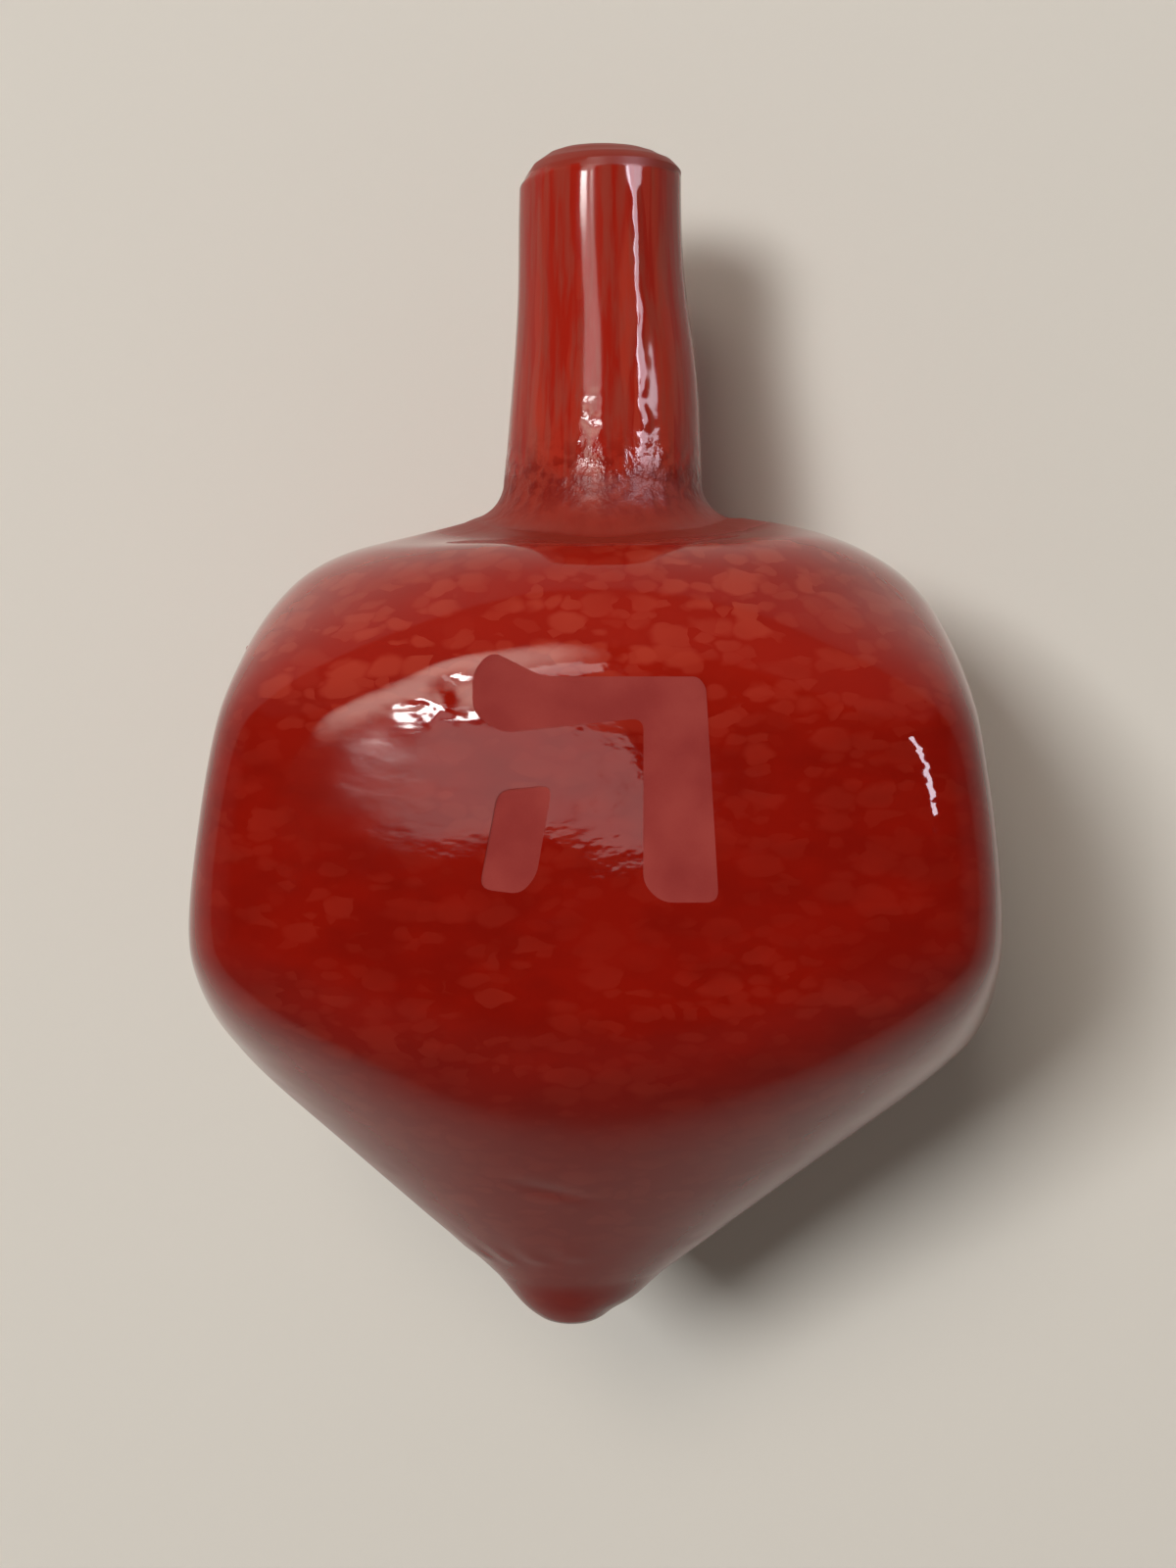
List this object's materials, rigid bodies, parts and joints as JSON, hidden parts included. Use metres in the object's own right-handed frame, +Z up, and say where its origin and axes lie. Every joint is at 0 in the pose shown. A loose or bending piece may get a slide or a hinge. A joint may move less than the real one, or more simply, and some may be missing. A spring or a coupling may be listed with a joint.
{
  "type": "dreidel",
  "caption": "Hand-made red glass spinning top with pressed flat sides, a round stem to twirl, a pointed tip and a frosted game letter on each side.",
  "frame": {"origin": "point of the nun side that bears the weight when the dreidel lies on the table, under its centre of mass", "axes": "+Z up from the table, out of the hei side; +Y along the table towards the stem end; +X to the right when the hei letter is read with the stem at the top"},
  "size_m": [0.0492, 0.0758, 0.0491],
  "materials": {
    "red_glass": "gloss",
    "clear_glass": "gloss",
    "frosted_glass": "matte"
  },
  "bodies": {
    "root": {"core": "clear_glass", "casing": "red_glass", "collar": "red_glass", "stem": "red_glass", "tip": "red_glass", "letter_nun": "frosted_glass", "letter_gimel": "frosted_glass", "letter_hei": "frosted_glass", "letter_hei_leg": "frosted_glass", "letter_shin": "frosted_glass"}
  },
  "joints": []
}
